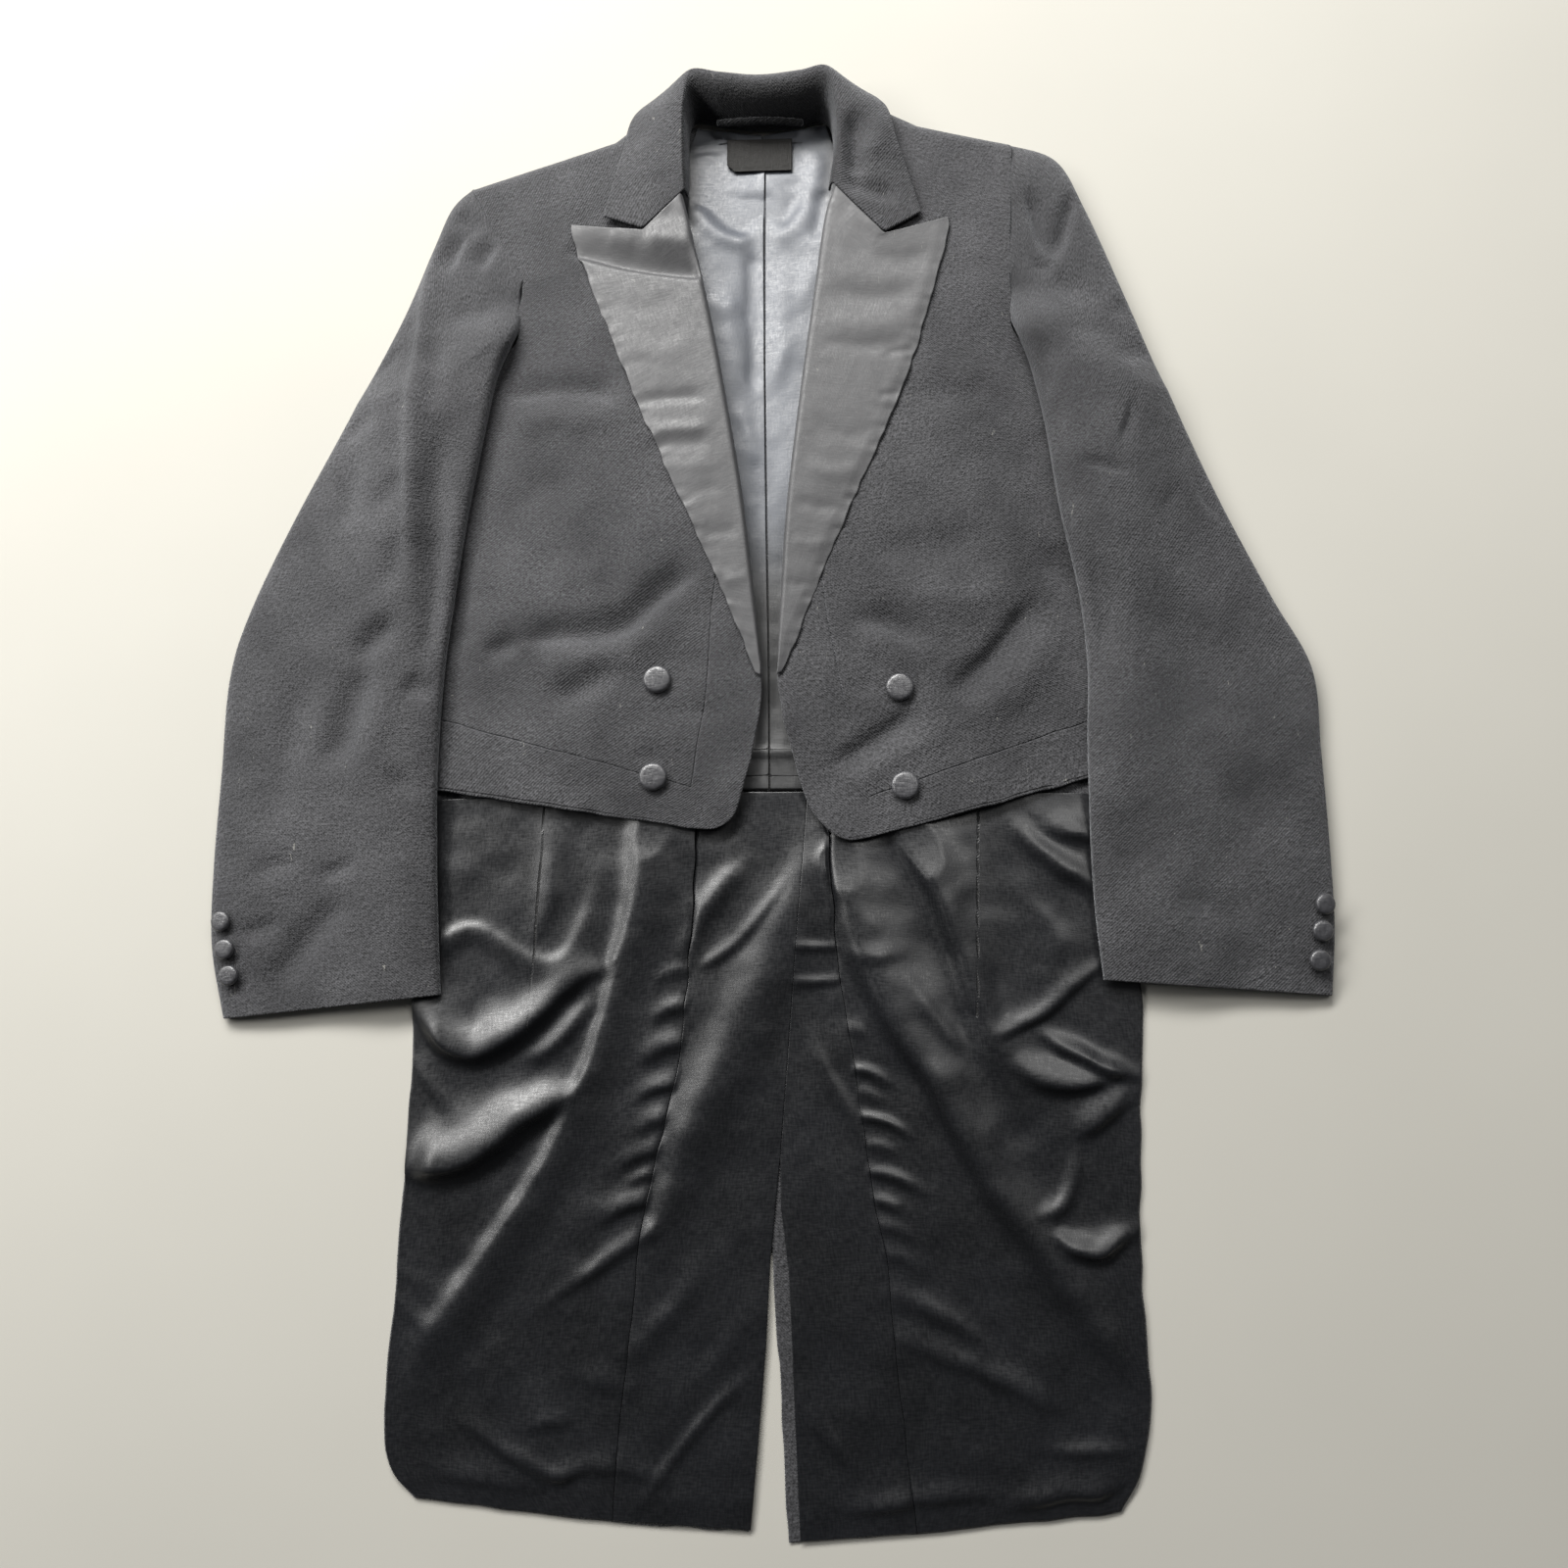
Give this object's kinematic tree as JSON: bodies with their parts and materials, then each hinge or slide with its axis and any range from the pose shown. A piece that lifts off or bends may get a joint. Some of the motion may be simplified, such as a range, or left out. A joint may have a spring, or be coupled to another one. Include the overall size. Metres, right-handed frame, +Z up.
{
  "type": "white tie tailcoat laid flat",
  "caption": "Black white-tie tailcoat laid flat, front up: peaked satin lapels, cutaway fronts, two long lined tails and covered buttons.",
  "frame": {"origin": "centre of the coat's outline in plan, on the surface it lies on", "axes": "+Y towards the neck, -Y towards the tail hems, +X towards the coat's left front, which is on the viewer's right, +Z up out of the surface"},
  "size_m": [0.796, 1.0656, 0.0381],
  "materials": {
    "coat_wool": "matt black barathea wool",
    "lapel_satin": "black silk satin, soft sheen",
    "body_lining": "dark grey satin lining",
    "tail_lining": "black satin lining, glossy",
    "label_cloth": "plain black woven label",
    "button_silk": "black silk-covered button"
  },
  "bodies": {
    "root": {"back_left": "coat_wool", "back_right": "coat_wool", "side_body_left": "coat_wool", "side_body_right": "coat_wool", "skirt_left": "coat_wool", "skirt_right": "coat_wool", "forepart_left": "coat_wool", "forepart_right": "coat_wool", "front_strap_left": "coat_wool", "front_strap_right": "coat_wool", "sleeve_top_left": "coat_wool", "sleeve_top_right": "coat_wool", "sleeve_under_left": "coat_wool", "sleeve_under_right": "coat_wool", "collar": "coat_wool", "hanger_loop": "coat_wool", "lapel_left": "lapel_satin", "lapel_right": "lapel_satin", "body_lining_left": "body_lining", "body_lining_right": "body_lining", "tail_lining_side_left": "tail_lining", "tail_lining_side_right": "tail_lining", "tail_lining_centre_left": "tail_lining", "tail_lining_centre_right": "tail_lining", "neck_label": "label_cloth", "front_button_left_upper": "button_silk", "front_button_left_lower": "button_silk", "front_button_right_upper": "button_silk", "front_button_right_lower": "button_silk", "cuff_button_left_1": "button_silk", "cuff_button_left_2": "button_silk", "cuff_button_left_3": "button_silk", "cuff_button_right_1": "button_silk", "cuff_button_right_2": "button_silk", "cuff_button_right_3": "button_silk"}
  },
  "joints": []
}
